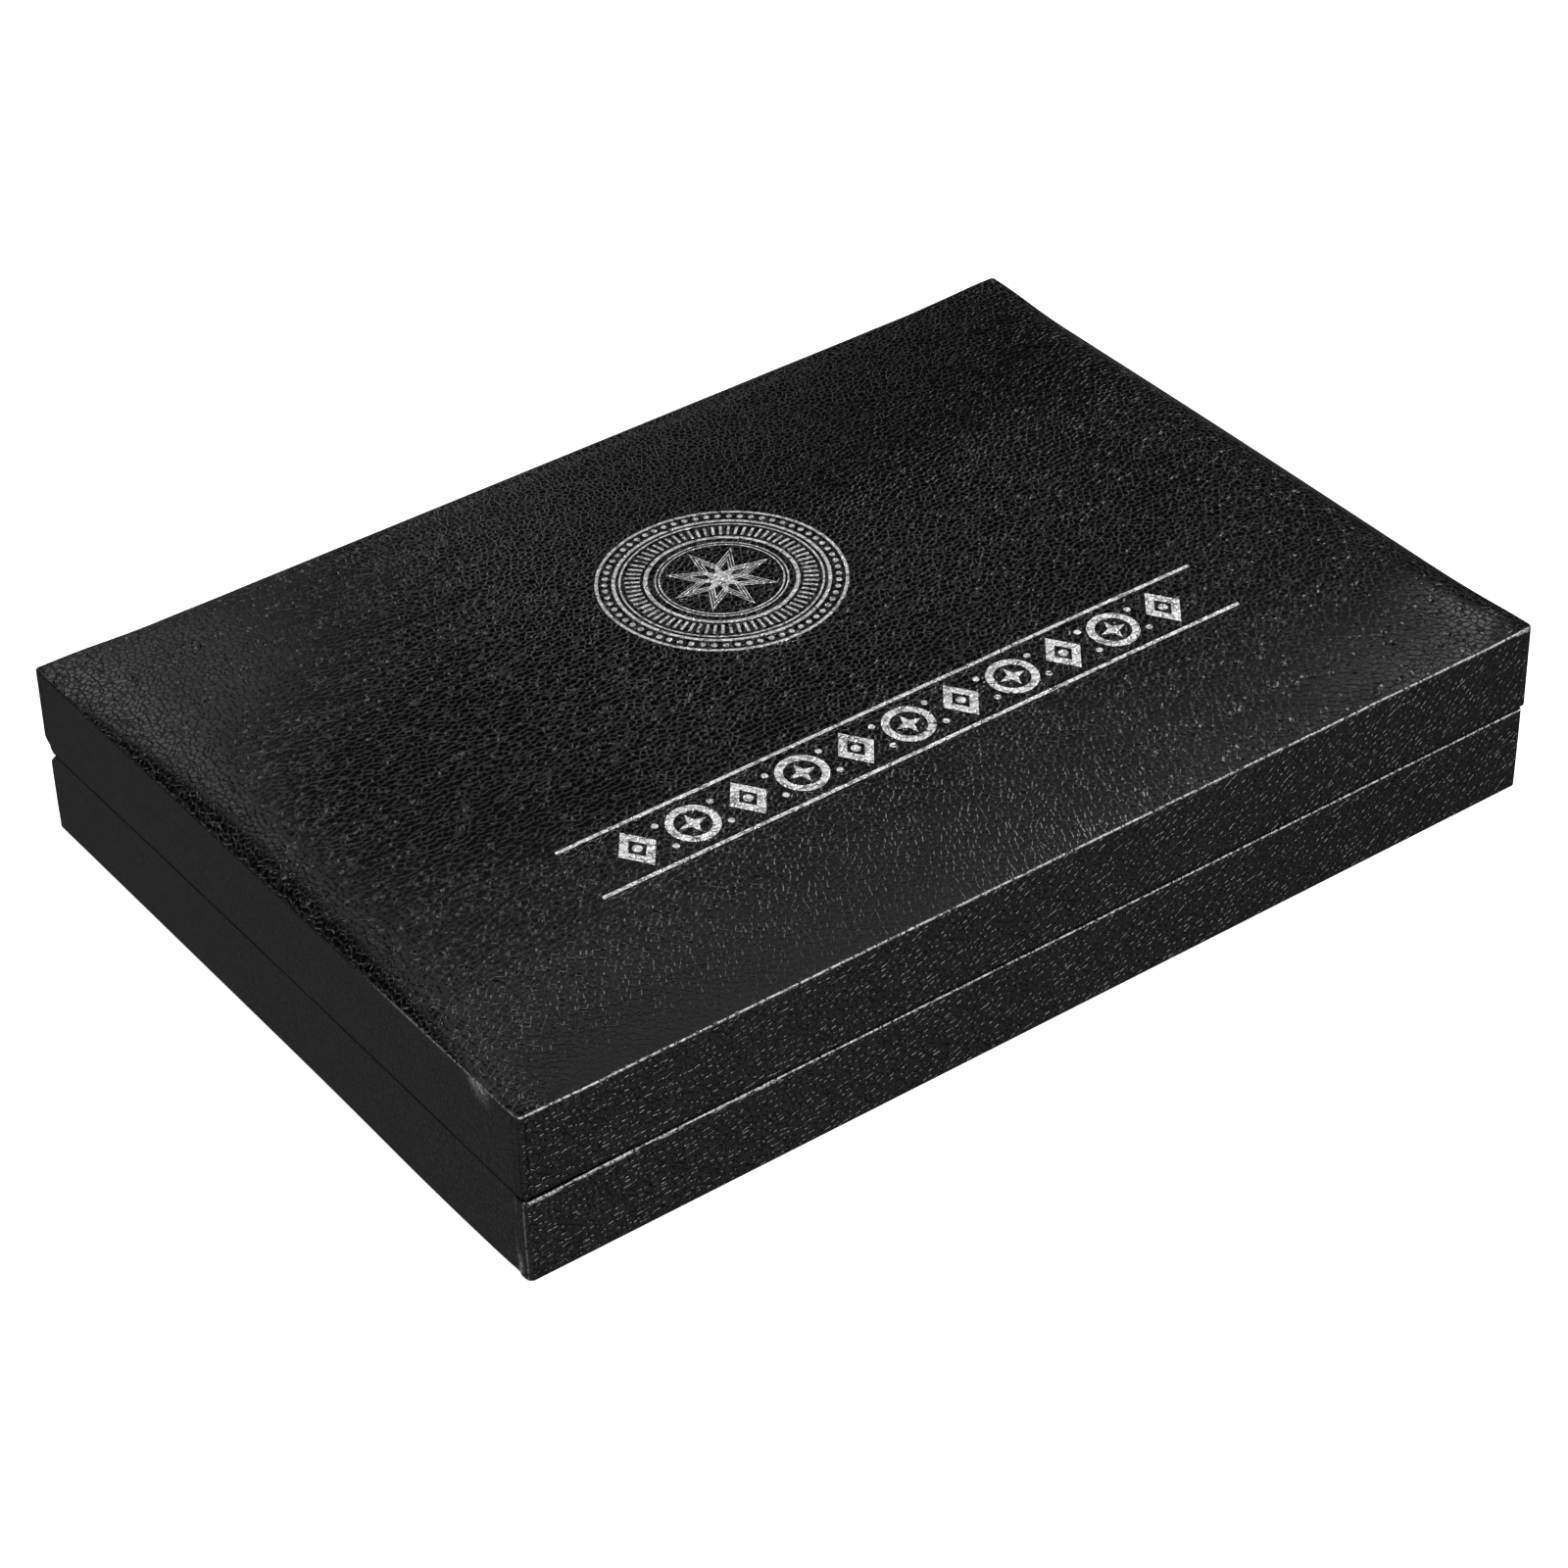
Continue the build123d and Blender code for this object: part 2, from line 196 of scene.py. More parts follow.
def wire(nodes, shader, **sockets):
    """Feeds the shader's sockets, each named with _ for a space."""
    for name, value in sockets.items():
        feed(nodes.tree, shader.inputs[name.replace("_", " ")], value)


def bump(nodes, height, depth, strength=1.0):
    inputs = {"Height": height, "Distance": depth, "Strength": strength}
    return nodes.add("ShaderNodeBump", inputs).outputs["Normal"]


# ---------------------------------------------------------------- materials


def grain(nodes, place, strength=None):
    """The pebble grain of the sheet: its height, and how deep the valleys between the pebbles are."""
    swirl = nodes.add("ShaderNodeTexNoise", {"Vector": place, "Scale": 900.0, "Detail": 0.0})
    shift = nodes.vector("SUBTRACT", {0: swirl.outputs["Color"], 1: (0.5, 0.5, 0.5)})
    shift = nodes.vector("SCALE", {0: shift, "Scale": 0.4 * MM})
    bent = nodes.vector("ADD", {0: place, 1: shift})
    edge = nodes.cells(bent, 760.0, "DISTANCE_TO_EDGE", 0.9)
    pebble = nodes.ramp(edge, 0.0, 0.15)
    patch = nodes.ramp(nodes.noise(place, 560.0, 1.0), 0.35, 0.65, 0.65, 1.0)
    valley = nodes.math("MULTIPLY", nodes.math("SUBTRACT", 1.0, pebble), patch)
    height = nodes.math("MULTIPLY", valley, -0.62)
    return nodes.math("MULTIPLY", height, strength or nodes.mark("grain")), valley


def highlight_and_wear(nodes, place):
    """Where the sheet is painted pale: a painted highlight along its tight folds and seam lines, and rubbed
    wear at a few spots. The mesh says where, and a fine noise breaks it into dots.
    """
    dots = nodes.ramp(nodes.noise(place, 1500.0, 3.0, 0.7), 0.38, 0.58)
    return nodes.math("MULTIPLY", nodes.mark("highlight_and_wear"), dots, clamp=True)


def leatherette():
    made, nodes, shader, place = material("black_leatherette")
    height, valley = grain(nodes, place)
    highlight_and_rub = highlight_and_wear(nodes, place)
    cloud = nodes.noise(place, 22.0, 3.0)
    # Painted shade: the grain's valleys are painted darker than the pebble tops
    colour = nodes.mix(valley, grey(0.0012), grey(0.0006))
    colour = nodes.mix(nodes.ramp(cloud, 0.3, 0.7, 0.0, 0.4), colour, grey(0.002))
    # Painted highlight: the folds and seam lines are painted pale grey, and so are the rubbed spots
    colour = nodes.mix(nodes.math("MULTIPLY", highlight_and_rub, 0.9), colour, grey(0.45))
    rough = nodes.ramp(cloud, 0.3, 0.7, 0.11, 0.15)
    rough = nodes.math("ADD", rough, nodes.math("MULTIPLY", valley, 0.1))
    wire(nodes, shader, Base_Color=colour, Roughness=rough, Normal=bump(nodes, height, 0.2 * MM))
    shader.inputs["Specular IOR Level"].default_value = 0.25
    return made


def silver_foil():
    made, nodes, shader, place = material("silver_foil")
    height, valley = grain(nodes, place, 1.0)
    gaps = nodes.ramp(nodes.noise(place, 900.0, 2.0), 0.36, 0.46, 1.0, 0.0)
    bare = nodes.math("MAXIMUM", nodes.ramp(valley, 0.35, 0.9), nodes.math("MULTIPLY", gaps, 0.7))
    colour = nodes.mix(bare, grey(0.86), grey(0.03))
    metallic = nodes.ramp(bare, 0.0, 1.0, 1.0, 0.1, smooth=False)
    rough = nodes.ramp(nodes.noise(place, 700.0, 2.0), 0.3, 0.7, 0.3, 0.46)
    normal = bump(nodes, height, 0.11 * MM)
    wire(nodes, shader, Base_Color=colour, Metallic=metallic, Roughness=rough, Normal=normal)
    return made


def velvet():
    made, nodes, shader, place = material("black_velvet")
    nap = nodes.noise(place, 2600.0, 2.0, 0.8)
    brushed = nodes.noise(place, 46.0, 3.0, 0.6)
    # The brushed patches are painted lighter: partly the nap's own tone, and partly painted sheen of the
    # flattened nap
    colour = nodes.mix(nodes.ramp(brushed, 0.35, 0.65), grey(0.006, -0.1), grey(0.017, -0.12))
    wire(nodes, shader, Base_Color=colour, Roughness=0.92, Normal=bump(nodes, nap, 0.25 * MM, 0.7))
    shader.inputs["Sheen Weight"].default_value = 0.45
    shader.inputs["Sheen Roughness"].default_value = 0.35
    shader.inputs["Specular IOR Level"].default_value = 0.15
    return made


def threads(nodes, place, direction, scale, waver):
    """One set of a weave's threads, as ridges that follow each other in that direction."""
    inputs = {"Vector": place, "Scale": scale, "Distortion": waver}
    return nodes.add("ShaderNodeTexWave", inputs, bands_direction=direction).outputs["Fac"]


def satin():
    made, nodes, shader, place = material("charcoal_satin")
    weft = threads(nodes, place, "Y", 1300.0, 0.6)
    warp = threads(nodes, place, "X", 420.0, 0.8)
    weave = nodes.math("ADD", weft, nodes.math("MULTIPLY", warp, 0.35))
    cloud = nodes.noise(place, 60.0, 2.0)
    colour = nodes.mix(nodes.ramp(cloud, 0.3, 0.7), grey(0.034, -0.05), grey(0.04, -0.05))
    colour = nodes.mix(nodes.ramp(weft, 0.2, 0.8, 0.0, 0.3), colour, grey(0.02, -0.05))
    rough = nodes.ramp(cloud, 0.3, 0.7, 0.34, 0.38)
    wire(nodes, shader, Base_Color=colour, Roughness=rough, Normal=bump(nodes, weave, 0.03 * MM, 0.8))
    shader.inputs["Sheen Weight"].default_value = 0.3
    shader.inputs["Anisotropic"].default_value = 0.5
    return made


def backing_paper():
    made, nodes, shader, place = material("black_backing_paper")
    fibre = nodes.noise(place, 1400.0, 4.0, 0.7)
    cloud = nodes.noise(place, 35.0, 2.0)
    colour = nodes.mix(nodes.ramp(cloud, 0.3, 0.7), grey(0.016), grey(0.026))
    colour = nodes.mix(nodes.ramp(fibre, 0.55, 0.75, 0.0, 0.4), colour, grey(0.06))
    wire(nodes, shader, Base_Color=colour, Roughness=0.85, Normal=bump(nodes, fibre, 0.12 * MM, 0.6))
    return made


def fibreboard():
    made, nodes, shader, place = material("fibreboard")
    fibre = nodes.noise(place, 900.0, 4.0, 0.75)
    colour = nodes.mix(nodes.ramp(fibre, 0.35, 0.65), (0.17, 0.115, 0.07, 1), (0.27, 0.19, 0.12, 1))
    wire(nodes, shader, Base_Color=colour, Roughness=0.8, Normal=bump(nodes, fibre, 0.1 * MM, 0.6))
    return made


def metal(name, value, rough):
    """A brushed metal, brushed along X."""
    made, nodes, shader, place = material(name)
    stretched = nodes.add("ShaderNodeMapping", {"Vector": place, "Scale": (60.0, 900.0, 900.0)})
    lines = nodes.noise(stretched.outputs["Vector"], 3.0, 3.0, 0.6)
    smudge = nodes.noise(place, 260.0, 2.0)
    colour = nodes.mix(nodes.ramp(smudge, 0.3, 0.7), grey(value, 0.03), grey(value * 0.82, 0.03))
    roughness = nodes.ramp(lines, 0.3, 0.7, rough - 0.06, rough + 0.1)
    normal = bump(nodes, lines, 0.01 * MM, 0.5)
    wire(nodes, shader, Base_Color=colour, Metallic=1.0, Roughness=roughness, Normal=normal)
    return made


# ---------------------------------------------------------------- mesh helpers


def new_piece(name, points, faces, look, body, smooth=True):
    """A mesh of our own that rides on a body."""
    mesh = bpy.data.meshes.new(name)
    mesh.from_pydata([tuple(p) for p in points], [], [tuple(f) for f in faces])
    mesh.validate()
    mesh.polygons.foreach_set("use_smooth", [smooth] * len(mesh.polygons))
    mesh.materials.append(look)
    made = bpy.data.objects.new(name, mesh)
    bpy.context.scene.collection.objects.link(made)
    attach(made, body)
    return made


def graded(half, insets, step):
    """Places from -half to +half: the given distances in from both ends, and even steps between."""
    low = [-half + i for i in insets]
    inner = half - insets[-1]
    count = max(2, round(2 * inner / step))
    middle = [float(v) for v in np.linspace(-inner, inner, count + 1)[1:-1]]
    return np.array(low + middle + [-v for v in reversed(low)])


def rounded(x, y, half, radius):
    """Moves the points of a rectangle's corners onto corners of that radius."""
    a = np.clip((np.abs(x) - half[0] + radius) / radius, 0, 1)
    b = np.clip((np.abs(y) - half[1] + radius) / radius, 0, 1)
    both = (a > 0) & (b > 0)
    a2 = np.where(both, a * np.sqrt(1 - b * b / 2), a)
    b2 = np.where(both, b * np.sqrt(1 - a * a / 2), b)
    new_x = np.where(both, np.sign(x) * (half[0] - radius + a2 * radius), x)
    new_y = np.where(both, np.sign(y) * (half[1] - radius + b2 * radius), y)
    return new_x, new_y


def inside(x, y, half, radius):
    """How far points lie inside a rounded rectangle."""
    qx = np.abs(x) - half[0] + radius
    qy = np.abs(y) - half[1] + radius
    out = np.hypot(np.maximum(qx, 0), np.maximum(qy, 0)) + np.minimum(np.maximum(qx, qy), 0)
    return radius - out


def fold_drop(depth, radius):
    """How far a fold's round edge lies under the flat at that depth in from it."""
    left = np.clip(radius - depth, 0, radius)
    return radius - np.sqrt(np.maximum(radius**2 - left**2, 0))


def smooth_step(t):
    t = np.clip(t, 0, 1)
    return t * t * (3 - 2 * t)


def spot(points, middle, squeeze, radius):
    """1 at the middle of a soft spot, fading out over its radius. The squeeze is along X, Y and Z."""
    return np.exp(-((np.linalg.norm((points - middle) * squeeze, axis=1) / radius) ** 2))


def grid_edge(columns, rows):
    """The indices round the edge of a grid, anticlockwise from above.
    A point's index is column * rows + row."""
    south = [c * rows for c in range(columns)]
    east = [(columns - 1) * rows + r for r in range(1, rows)]
    north = [c * rows + rows - 1 for c in reversed(range(columns - 1))]
    west = [r for r in reversed(range(1, rows - 1))]
    return south + east + north + west


def grid_faces(columns, rows, start=0, up=True):
    """The faces of a grid whose first point has the index start, facing up or down."""
    faces = []
    for c in range(columns - 1):
        for r in range(rows - 1):
            a = start + c * rows + r
            quad = (a, a + rows, a + rows + 1, a + 1)
            faces.append(quad if up else quad[::-1])
    return faces


def band_faces(upper, lower):
    """The faces between two loops of indices, facing out when the loops run anticlockwise."""
    count = len(upper)
    return [(upper[i], lower[i], lower[(i + 1) % count], upper[(i + 1) % count]) for i in range(count)]


def arc(radius, steps):
    """(in, down) along a quarter round fold, from the upright face to the flat one."""
    turns = [math.pi / 2 * i / steps for i in range(steps + 1)]
    return [(radius * (1 - math.cos(t)), radius * (1 - math.sin(t))) for t in turns]


def ripple(x, y, z, size, seed):
    """A soft unevenness from -1 to 1, the same every time."""
    return noise.noise(Vector((x, y, z)) / size + Vector((seed, seed * 0.37, seed * 0.71)))


def rippled(x, y, size, seed):
    """That unevenness at each place of two arrays."""
    values = [ripple(a, b, 0, size, seed) for a, b in zip(x.ravel(), y.ravel())]
    return np.array(values).reshape(x.shape)


def coordinates(piece):
    flat = np.zeros(len(piece.data.vertices) * 3, np.float32)
    piece.data.vertices.foreach_get("co", flat)
    return flat.reshape(-1, 3).astype(float)


def set_mark(piece, name, values):
    """Gives the mesh a value at each point, for its material to read."""
    attribute = piece.data.attributes.new(name, "FLOAT", "POINT")
    attribute.data.foreach_set("value", np.asarray(values, np.float32))


def weld(piece):
    """Joins the points that lie on each other and turns the faces outwards."""
    shape = bmesh.new()
    shape.from_mesh(piece.data)
    bmesh.ops.remove_doubles(shape, verts=shape.verts, dist=0.002 * MM)
    bmesh.ops.recalc_face_normals(shape, faces=shape.faces)
    shape.to_mesh(piece.data)
    shape.free()


def cut_boxes(piece, boxes):
    """Cuts boxes, each a lowest and a highest corner, out of a closed piece."""
    cutter_mesh = bmesh.new()
    for low, high in boxes:
        size = Vector(high) - Vector(low)
        middle = (Vector(high) + Vector(low)) / 2
        place = Matrix.Translation(middle) @ Matrix.Diagonal((*size, 1))
        bmesh.ops.create_cube(cutter_mesh, size=1, matrix=place)
    data = bpy.data.meshes.new("cutter")
    cutter_mesh.to_mesh(data)
    cutter_mesh.free()
    cutter = bpy.data.objects.new("cutter", data)
    bpy.context.scene.collection.objects.link(cutter)
    cut = piece.modifiers.new("cut", "BOOLEAN")
    cut.object = cutter
    cut.operation = "DIFFERENCE"
    cut.solver = "EXACT"
    apply_modifiers(piece)
    bpy.data.objects.remove(cutter)
    bpy.data.meshes.remove(data)


def slab(name, x, y, top, bottom, look, body):
    """A closed piece over a grid of places, between two heights."""
    columns, rows = x.shape
    edge = grid_edge(columns, rows)
    faces = grid_faces(columns, rows)
    faces += band_faces(edge, [x.size + i for i in edge])
    faces += grid_faces(columns, rows, x.size, up=False)
    heights = [np.broadcast_to(height, x.shape).ravel() for height in (top, bottom)]
    points = np.concatenate([np.column_stack([x.ravel(), y.ravel(), z]) for z in heights])
    return new_piece(name, points, faces, look, body)


def apply_modifiers(piece):
    bpy.context.view_layer.update()
    evaluated = piece.evaluated_get(bpy.context.evaluated_depsgraph_get())
    mesh = bpy.data.meshes.new_from_object(evaluated)
    piece.modifiers.clear()
    piece.data = mesh


def softened(node, name, look, width):
    """A copy of one of the base's CAD nodes with its edges rounded, standing for it."""
    data = frame["nodes"][node].data.copy()
    shape = bmesh.new()
    shape.from_mesh(data)
    bmesh.ops.remove_doubles(shape, verts=shape.verts, dist=0.01 * MM)
    nearly_flat, sharp_turn = 0.01, 0.5
    bmesh.ops.dissolve_limit(shape, angle_limit=nearly_flat, verts=shape.verts, edges=shape.edges)
    sharp = [e for e in shape.edges if len(e.link_faces) == 2 and e.calc_face_angle() > sharp_turn]
    bmesh.ops.bevel(shape, geom=sharp, offset=width, segments=3, affect="EDGES", profile=0.5)
    for face in shape.faces:
        face.smooth = True
    shape.to_mesh(data)
    shape.free()
    data.materials.clear()
    data.materials.append(look)
    made = bpy.data.objects.new(name, data)
    bpy.context.scene.collection.objects.link(made)
    lean = made.modifiers.new("lean", "WEIGHTED_NORMAL")
    lean.keep_sharp = True
    apply_modifiers(made)
    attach(made, "base")
    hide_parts(node)


# ---------------------------------------------------------------- the lid


def soft_edge(x, y):
    """1 along the middle of the right and back edges, where the fold is full and round.
    0 at the tight folds and away from the edges."""
    right = np.where(x > 0, smooth_step((0.97 - np.abs(y) / LID_HALF[1]) / 0.25), 0)
    back = np.where(y > 0, smooth_step((0.97 - np.abs(x) / LID_HALF[0]) / 0.2), 0)
    to_right = LID_HALF[0] - x
    to_back = LID_HALF[1] - y
    near = smooth_step((8 * MM - np.minimum(to_right, to_back)) / (5 * MM))
    return np.where(to_right < to_back, right, back) * near


def pad_rise(x, y):
    """The height of the padded top over its rim."""
    ledge = LEDGE + (SOFT_LEDGE - LEDGE) * soft_edge(x, y)
    in_x = np.maximum(LID_HALF[0] - np.abs(x) - ledge, 0)
    in_y = np.maximum(LID_HALF[1] - np.abs(y) - ledge, 0)
    steep = 1 - np.exp(-in_x / SHOULDER)
    crown = 1 - np.maximum(1 - in_x / CROWN, 0) ** 2
    arch = 1 - np.maximum(1 - in_y / LID_HALF[1], 0) ** ARCH_POWER
    return PAD_RISE * (SHOULDER_SHARE * steep + (1 - SHOULDER_SHARE) * crown) * arch


def rim_wave(x, y):
    """The rim isn't quite straight: it wavers a little, most near the corners."""
    near = (np.abs(x) / LID_HALF[0]) * (np.abs(y) / LID_HALF[1])
    return 0.35 * MM * rippled(x, y, 13 * MM, 4.4) * near**3


def lid_top(x, y):
    """The height of the lid's outside, from above."""
    x, y = np.asarray(x, float), np.asarray(y, float)
    depth = inside(x, y, LID_HALF, CORNER)
    calm = np.clip((depth - 2 * MM) / (12 * MM), 0, 1)
    uneven = 0.11 * MM * calm * (rippled(x, y, 21 * MM, 3.1) - 0.6)
    fold = TIGHT_FOLD + (SOFT_FOLD - TIGHT_FOLD) * soft_edge(x, y)
    z = RIM + pad_rise(x, y) - fold_drop(depth, fold) + uneven
    return z + rim_wave(x, y) * np.exp(-depth / (3 * MM))


def split_bow(x, y):
    """The parting line bows up a little on the left side."""
    left = smooth_step((-x - LID_HALF[0] + 9 * MM) / (6 * MM))
    return 0.35 * MM * left * (1 - (y / LID_HALF[1]) ** 2)


def lid_bevel(y):
    """The bevel under the lid's back wall."""
    return HINGE.z + BEVEL * (y - HINGE.y) + BEVEL_GAP


def lid_underside(x, y):
    return np.maximum(LID_LOW + split_bow(x, y), lid_bevel(y))


def lid_underside_inner(x, y):
    return np.maximum(LID_LOW + SKIN + split_bow(x, y), lid_bevel(y) + SKIN_DROP)


def outline_of(half, columns, rows):
    """A rectangle's edge with rounded corners, through the grid's columns and rows."""
    x, y = np.meshgrid(columns, rows, indexing="ij")
    x, y = rounded(x, y, half, CORNER)
    edge = grid_edge(len(columns), len(rows))
    return np.column_stack([x.ravel()[edge], y.ravel()[edge]])


def loop_at(outline, half, inset, height):
    """The outline drawn in by inset, at a height that depends on x and y."""
    xy = outline * (1 - inset / half)
    return np.column_stack([xy, height(xy[:, 0], xy[:, 1])])


def level(height):
    """A height that is the same everywhere, for loop_at."""
    return lambda x, y: np.full_like(x, height)


def lid_loops(outline, rim_heights):
    """The sheet below the lid's rim: down the walls, round the lip, and up inside the walls to the pad."""
    low = lid_underside(*outline.T) + LIP_FOLD
    loops = []
    for share in (0.015, 0.04, 0.1, 0.25, 0.45, 0.65, 0.85, 0.96):
        loops.append(np.column_stack([outline, rim_heights + share * (low - rim_heights)]))
    for step_in, down in arc(LIP_FOLD, 5):
        loops.append(loop_at(outline, LID_HALF, step_in, lambda x, y, d=down: lid_underside(x, y) + d))
    for step_in in (0.8, 1.5, 2.3, 3.0, 3.25, 3.5, 4.0):
        loops.append(loop_at(outline, LID_HALF, step_in * MM, lid_underside))
    loops.append(loop_at(outline, LID_HALF, LID_WALL, lid_underside))
    loops.append(loop_at(outline, LID_HALF, LID_WALL, lid_underside_inner))
    loops.append(loop_at(outline, LID_HALF, SKIN, lid_underside_inner))
    loops.append(loop_at(outline, LID_HALF, SKIN, level(RIM - SKIN)))
    return loops


def lid_cover(look):
    """The leatherette over the pad and the lid's walls, closed under the pad."""
    edge = [0, 0.03, 0.09, 0.18, 0.3, 0.45, 0.65, 0.9, 1.15, 1.4, 1.65, 1.9, 2.15, 2.5, 2.9, 3.4, 4, 4.7]
    edge = [e * MM for e in edge + [5.5, 6.5, 7.6, 9]]
    columns = graded(LID_HALF[0], edge, GRID_STEP)
    rows = graded(LID_HALF[1], edge, GRID_STEP)
    x, y = np.meshgrid(columns, rows, indexing="ij")
    x, y = rounded(x, y, LID_HALF, CORNER)
    top = np.column_stack([x.ravel(), y.ravel(), lid_top(x, y).ravel()])
    faces = grid_faces(len(columns), len(rows))
    rim = grid_edge(len(columns), len(rows))
    loops = lid_loops(top[rim][:, :2], top[rim][:, 2])
    start = len(top)
    upper = rim
    for loop in loops:
        lower = list(range(start, start + len(loop)))
        faces += band_faces(upper, lower)
        start += len(loop)
        upper = lower
    under = top * [1 - SKIN / LID_HALF[0], 1 - SKIN / LID_HALF[1], 0] + [0, 0, RIM - SKIN]
    faces += grid_faces(len(columns), len(rows), start, up=False)
    faces += band_faces(upper, [start + i for i in rim])
    points = np.concatenate([top, *loops, under])
    press_lid_corners(points)
    piece = new_piece("lid_padded_cover", points, faces, look, "lid")
    weld(piece)
    set_mark(piece, "highlight_and_wear", lid_highlight_and_wear(piece))
    set_mark(piece, "grain", grain_strength(piece, LID_HALF, 1))
    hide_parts("lid_wrap", "lid_foam_pad")
    return piece


def press_lid_corners(points):
    """The sheet's folded corners leave a faint groove down both sides of each upright edge."""
    x, y, z = points.T
    groove_at = 1.9 * MM
    half_width = 0.35 * MM
    groove = 0.12 * MM
    outer = (z < RIM - TIGHT_FOLD) & (inside(x, y, LID_HALF, CORNER) < 0.1 * MM)
    for side_x in (-1, 1):
        for side_y in (-1, 1):
            to_x = np.abs(x - side_x * LID_HALF[0])
            to_y = np.abs(y - side_y * LID_HALF[1])
            on_end = outer & (to_x < 0.1 * MM) & (np.abs(to_y - groove_at) < half_width)
            on_long = outer & (to_y < 0.1 * MM) & (np.abs(to_x - groove_at) < half_width)
            points[on_end, 0] -= side_x * groove
            points[on_long, 1] -= side_y * groove


def grain_strength(piece, half, padded):
    """The grain is pressed softer on the end walls, where the padded top bends down to the front and in
    its back right part. It stands out on the top's left part and on the steep ends."""
    x, y, z = coordinates(piece).T
    to_end = half[0] - np.abs(x)
    wall = (to_end < 0.6 * MM) & (z < RIM - LIP_FOLD)
    steep = np.exp(-to_end / SHOULDER)
    front = np.exp(-(((y + half[1]) / (44 * MM)) ** 2)) * smooth_step((90 * MM - x) / (120 * MM))
    back_right = smooth_step((x + 60 * MM) / (70 * MM)) * smooth_step((y + 5 * MM) / (50 * MM))
    left = smooth_step((-x - 30 * MM) / (50 * MM)) * (1 - front)
    change = 1.1 * steep + 0.8 * left - np.maximum(0.85 * front, 0.6 * back_right)
    return np.where(wall, 0.6, 1 + padded * change * (z > RIM))


def lid_highlight_and_wear(piece):
    """The tight folds are painted pale, as a painted highlight: along the front, and on the left next to
    the front corner.
    """
    p = coordinates(piece)
    x, y, z = p.T
    depth = inside(x, y, LID_HALF, CORNER)
    fold = np.exp(-(((depth - 0.07 * MM) / (0.06 * MM)) ** 2)) * (z > RIM - 0.5 * MM)
    front = y < -LID_HALF[1] + 0.8 * MM
    left = (x < -LID_HALF[0] + 0.8 * MM) * smooth_step((-30 * MM - y) / (20 * MM))
    # Painted highlight along the front fold, and along the left fold near the front corner
    value = fold * np.maximum(1.9 * front, 0.7 * left)
    scuff = np.array([-LID_HALF[0], -LID_HALF[1] + 12.5 * MM, RIM - 1.2 * MM])
    value += 0.9 * spot(p, scuff, [1, 0.45, 1], 0.9 * MM)
    return np.clip(value, 0, 1)


# ---------------------------------------------------------------- the base


def base_sag(x, y):
    """The base's rim is a little low on the front, next to the left corner."""
    front = smooth_step((-y - BASE_HALF[1] + 5 * MM) / (4 * MM))
    return 0.3 * MM * front * np.exp(-(((x + BASE_HALF[0]) / (15 * MM)) ** 2))


def split_gap(x):
    """The parting line is widest on the left side."""
    return 0.22 * MM * smooth_step((-x - BASE_HALF[0] + 9 * MM) / (6 * MM))


def base_bevel(y):
    """The bevel on top of the base's back wall."""
    return HINGE.z - BEVEL * (y - HINGE.y) - BEVEL_GAP


def base_rim(x, y):
    """The height of the base's rim, which always covers the boards."""
    high = BASE_HIGH + split_bow(x, y) - base_sag(x, y) - split_gap(x)
    high = np.maximum(high, BASE_BOARD_TOP + 0.1 * MM)
    return np.minimum(high, base_bevel(y))


def base_rim_inner(x, y):
    return np.minimum(BASE_HIGH - SKIN - split_gap(x), base_bevel(y) - SKIN_DROP)


def wall_bulge(x, y):
    """The left wall of the base stands out a little near the front."""
    near = np.exp(-(((y + 55 * MM) / (28 * MM)) ** 2)) * smooth_step((y + BASE_HALF[1]) / (12 * MM))
    return 0.4 * MM * (x < 0) * near


def base_rim_loops(outline):
    """The sheet from inside the base's walls over the rim, to where it turns down the outside."""
    loops = [loop_at(outline, BASE_HALF, SKIN + BASE_TAPER, base_rim_inner)]
    loops.append(loop_at(outline, BASE_HALF, BASE_WALL, base_rim_inner))
    loops.append(loop_at(outline, BASE_HALF, BASE_WALL, base_rim))
    for step_in in (4.0, 3.4, 3.1, 2.9, 2.3, 1.5, 0.8):
        loops.append(loop_at(outline, BASE_HALF, step_in * MM, base_rim))
    for step_in, down in reversed(arc(LIP_FOLD, 5)):
        loops.append(loop_at(outline, BASE_HALF, step_in, lambda x, y, d=down: base_rim(x, y) - d))
    return loops


def base_wall_loops(outline):
    """The sheet down the base's walls and round its foot."""
    loops = []
    foot = BASE_LOW + FOOT_FOLD
    for share in (0.03, 0.1, 0.25, 0.45, 0.65, 0.85, 0.95, 0.985):
        loop = loop_at(outline, BASE_HALF, BASE_TAPER * share**2, base_rim)
        loop[:, 2] = (loop[:, 2] - LIP_FOLD) * (1 - share) + foot * share
        left = loop[:, 0] < -BASE_HALF[0] + 0.6 * MM
        loop[:, 0] -= share * wall_bulge(loop[:, 0], loop[:, 1]) * left
        loops.append(loop)
    for step_in, up in arc(FOOT_FOLD, 5):
        loop = loop_at(outline, BASE_HALF, BASE_TAPER + step_in, level(BASE_LOW + up))
        left = loop[:, 0] < -BASE_HALF[0] + 1.2 * MM
        loop[:, 0] -= wall_bulge(loop[:, 0], loop[:, 1]) * left
        loops.append(loop)
    return loops


